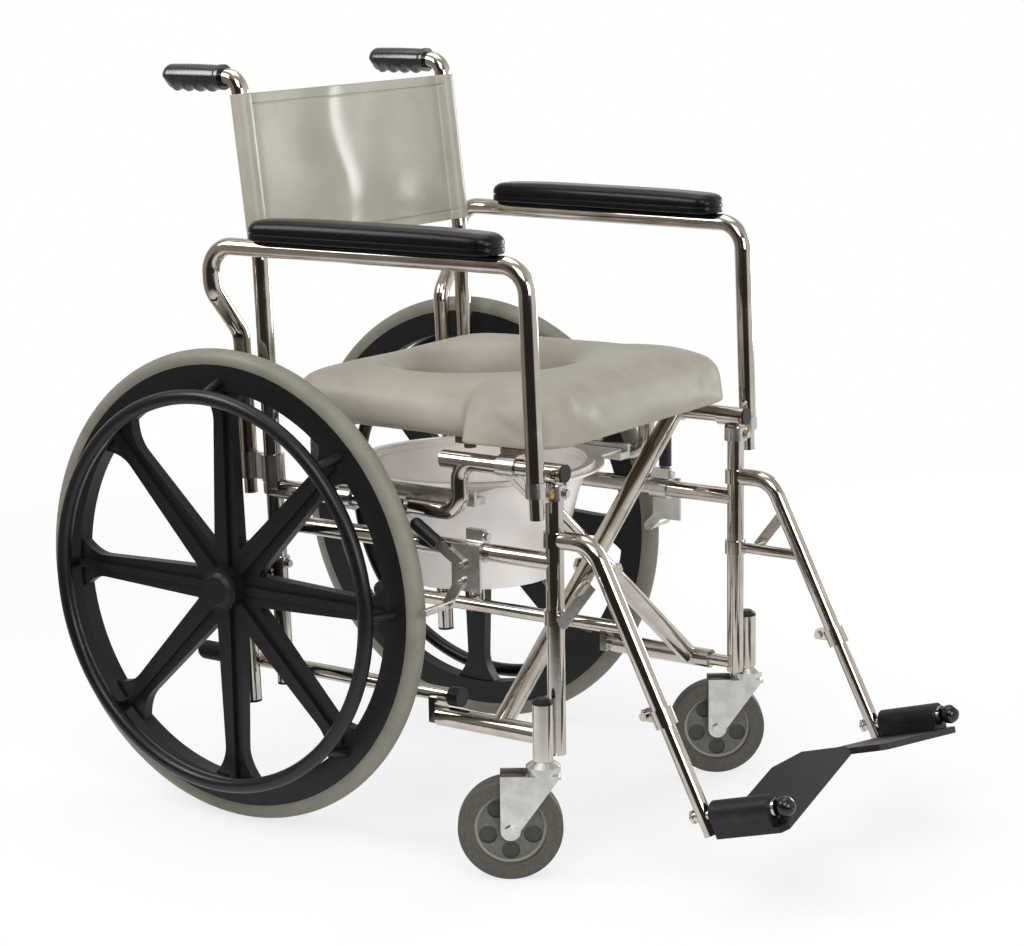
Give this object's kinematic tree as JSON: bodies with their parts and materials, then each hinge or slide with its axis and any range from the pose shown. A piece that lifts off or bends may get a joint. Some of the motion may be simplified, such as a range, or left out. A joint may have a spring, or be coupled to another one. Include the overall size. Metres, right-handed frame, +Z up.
{
  "type": "shower commode chair",
  "caption": "Wheeled shower commode chair: tubular folding-type frame, padded seat with opening over a slide-out pan, sling back, lift-off arms, swing-away footrests and brakes.",
  "frame": {"origin": "on the floor, at the middle of the overall width and length", "axes": "+Z up, the chair faces -Y, the user's right side is -X"},
  "size_m": [0.643, 1.0907, 0.959],
  "materials": {
    "bright_steel": "polished tube",
    "zinc": "zinc-plated",
    "sling_vinyl": "coated cloth",
    "seat_vinyl": "coated cloth over foam",
    "black_rubber": "soft moulded",
    "black_plastic": "moulded",
    "pad_plastic": "self-skinned foam",
    "grey_tyre": "solid grey tyre",
    "caster_rubber": "dark grey tyre and wheel",
    "pan_plastic": "glossy moulded",
    "board": "dark sealed board",
    "brass": "bare"
  },
  "bodies": {
    "frame": {"side_frame_right": "bright_steel", "side_frame_left": "bright_steel", "back_post_right": "bright_steel", "back_post_left": "bright_steel", "axle_post_right": "bright_steel", "axle_post_left": "bright_steel", "tipping_rod_right": "bright_steel", "tipping_rod_left": "bright_steel", "cross_member_right": "bright_steel", "cross_member_left": "bright_steel", "seat_rail_right": "bright_steel", "seat_rail_left": "bright_steel", "cross_bolt": "zinc", "rail_saddles": "zinc", "front_sockets": "zinc", "rear_sockets": "zinc", "back_sling": "sling_vinyl", "hand_grips": "black_rubber", "rubber_tips": "black_rubber", "tube_plugs": "black_plastic", "brake_clamps": "zinc", "frame_bolts": "zinc", "rear_axles": "zinc", "pan_runners": "zinc"},
    "wheel_right": {"rear_wheel_right": "black_plastic", "rear_tyre_right": "grey_tyre", "pushrim_right": "black_plastic", "wheel_bearings_right": "zinc"},
    "caster_right": {"caster_fork_right": "zinc"},
    "caster_wheel_right": {"caster_wheel_right": "caster_rubber"},
    "hanger_right": {"hanger_right": "bright_steel"},
    "latch_right": {"hanger_latch_right": "zinc"},
    "footrest_right": {"footrest_tube_right": "bright_steel", "foot_pin_right": "black_plastic"},
    "footplate_right": {"footplate_right": "black_plastic"},
    "brake_lever_right": {"brake_lever_right": "black_rubber"},
    "brake_shoe_right": {"brake_shoe_right": "zinc"},
    "arm_right": {"arm_tube_right": "bright_steel", "arm_pad_right": "pad_plastic"},
    "arm_button_right": {"arm_button_right": "brass"},
    "wheel_left": {"rear_wheel_left": "black_plastic", "rear_tyre_left": "grey_tyre", "pushrim_left": "black_plastic", "wheel_bearings_left": "zinc"},
    "caster_left": {"caster_fork_left": "zinc"},
    "caster_wheel_left": {"caster_wheel_left": "caster_rubber"},
    "hanger_left": {"hanger_left": "bright_steel"},
    "latch_left": {"hanger_latch_left": "zinc"},
    "footrest_left": {"footrest_tube_left": "bright_steel", "foot_pin_left": "black_plastic"},
    "footplate_left": {"footplate_left": "black_plastic"},
    "brake_lever_left": {"brake_lever_left": "black_rubber"},
    "brake_shoe_left": {"brake_shoe_left": "zinc"},
    "arm_left": {"arm_tube_left": "bright_steel", "arm_pad_left": "pad_plastic"},
    "arm_button_left": {"arm_button_left": "brass"},
    "seat": {"seat_board": "board", "seat_cushion": "seat_vinyl"},
    "pan": {"pan": "pan_plastic"}
  },
  "joints": [
    {"name": "wheel_spin_right", "type": "hinge", "parent": "frame", "child": "wheel_right", "pos_m": [-0.267, 0.24036, 0.305], "axis": [1, 0, 0], "continuous": true},
    {"name": "caster_swivel_right", "type": "hinge", "parent": "frame", "child": "caster_right", "pos_m": [-0.242, -0.21964, 0.146], "axis": [0, 0, 1], "continuous": true},
    {"name": "caster_spin_right", "type": "hinge", "parent": "caster_right", "child": "caster_wheel_right", "pos_m": [-0.26494, -0.18687, 0.0635], "axis": [0.8192, 0.5736, 0], "continuous": true},
    {"name": "hanger_swing_right", "type": "hinge", "parent": "frame", "child": "hanger_right", "pos_m": [-0.212, -0.21964, 0.363], "axis": [0, 0, -1], "range_deg": [0, 95]},
    {"name": "latch_lift_right", "type": "hinge", "parent": "hanger_right", "child": "latch_right", "pos_m": [-0.231, -0.24364, 0.316], "axis": [1, 0, 0], "range_deg": [0, 20], "stiffness_Nm_per_rad": 0.4, "springref_deg": -11.46},
    {"name": "footrest_length_right", "type": "slide", "parent": "hanger_right", "child": "footrest_right", "axis": [0, -0.4462, -0.8949], "range_m": [-0.06, 0.05]},
    {"name": "footplate_fold_right", "type": "hinge", "parent": "footrest_right", "child": "footplate_right", "pos_m": [-0.212, -0.4257, 0.106], "axis": [0, -0.9613, 0.2756], "range_deg": [-14, 81]},
    {"name": "brake_lever_turn_right", "type": "hinge", "parent": "frame", "child": "brake_lever_right", "pos_m": [-0.234, -0.09764, 0.37], "axis": [1, 0, 0], "range_deg": [0, 58]},
    {"name": "brake_shoe_turn_right", "type": "hinge", "parent": "frame", "child": "brake_shoe_right", "pos_m": [-0.234, -0.09564, 0.348], "axis": [1, 0, 0], "range_deg": [0, 12.3]},
    {"name": "arm_lift_right", "type": "slide", "parent": "frame", "child": "arm_right", "axis": [0, 0.0349, 0.9994], "range_m": [0, 0.08]},
    {"name": "arm_button_press_right", "type": "slide", "parent": "frame", "child": "arm_button_right", "axis": [0, 1, 0], "range_m": [0, 0.004], "stiffness_N_per_m": 500, "springref_m": -0.001},
    {"name": "wheel_spin_left", "type": "hinge", "parent": "frame", "child": "wheel_left", "pos_m": [0.267, 0.24036, 0.305], "axis": [1, 0, 0], "continuous": true},
    {"name": "caster_swivel_left", "type": "hinge", "parent": "frame", "child": "caster_left", "pos_m": [0.242, -0.21964, 0.146], "axis": [0, 0, 1], "continuous": true},
    {"name": "caster_spin_left", "type": "hinge", "parent": "caster_left", "child": "caster_wheel_left", "pos_m": [0.21906, -0.18687, 0.0635], "axis": [0.8192, 0.5736, 0], "continuous": true},
    {"name": "hanger_swing_left", "type": "hinge", "parent": "frame", "child": "hanger_left", "pos_m": [0.212, -0.21964, 0.363], "axis": [0, 0, 1], "range_deg": [0, 95]},
    {"name": "latch_lift_left", "type": "hinge", "parent": "hanger_left", "child": "latch_left", "pos_m": [0.231, -0.24364, 0.316], "axis": [1, 0, 0], "range_deg": [0, 20], "stiffness_Nm_per_rad": 0.4, "springref_deg": -11.46},
    {"name": "footrest_length_left", "type": "slide", "parent": "hanger_left", "child": "footrest_left", "axis": [0, -0.4462, -0.8949], "range_m": [-0.06, 0.05]},
    {"name": "footplate_fold_left", "type": "hinge", "parent": "footrest_left", "child": "footplate_left", "pos_m": [0.212, -0.4257, 0.106], "axis": [0, 0.9613, -0.2756], "range_deg": [-8, 87]},
    {"name": "brake_lever_turn_left", "type": "hinge", "parent": "frame", "child": "brake_lever_left", "pos_m": [0.234, -0.09764, 0.37], "axis": [1, 0, 0], "range_deg": [-58, 0]},
    {"name": "brake_shoe_turn_left", "type": "hinge", "parent": "frame", "child": "brake_shoe_left", "pos_m": [0.234, -0.09564, 0.348], "axis": [1, 0, 0], "range_deg": [-12.3, 0]},
    {"name": "arm_lift_left", "type": "slide", "parent": "frame", "child": "arm_left", "axis": [0, 0.0349, 0.9994], "range_m": [0, 0.08]},
    {"name": "arm_button_press_left", "type": "slide", "parent": "frame", "child": "arm_button_left", "axis": [0, 1, 0], "range_m": [0, 0.004], "stiffness_N_per_m": 500, "springref_m": -0.001},
    {"name": "seat_lift_off", "type": "slide", "parent": "frame", "child": "seat", "axis": [0, 0, 1], "range_m": [0, 0.06]},
    {"name": "pan_slide", "type": "slide", "parent": "frame", "child": "pan", "axis": [0, 1, 0], "range_m": [0, 0.25]}
  ],
  "couplings": [
    {"joint": "brake_shoe_turn_right", "follows": "brake_lever_turn_right", "ratio": 0.2103},
    {"joint": "brake_shoe_turn_left", "follows": "brake_lever_turn_left", "ratio": 0.2103}
  ]
}
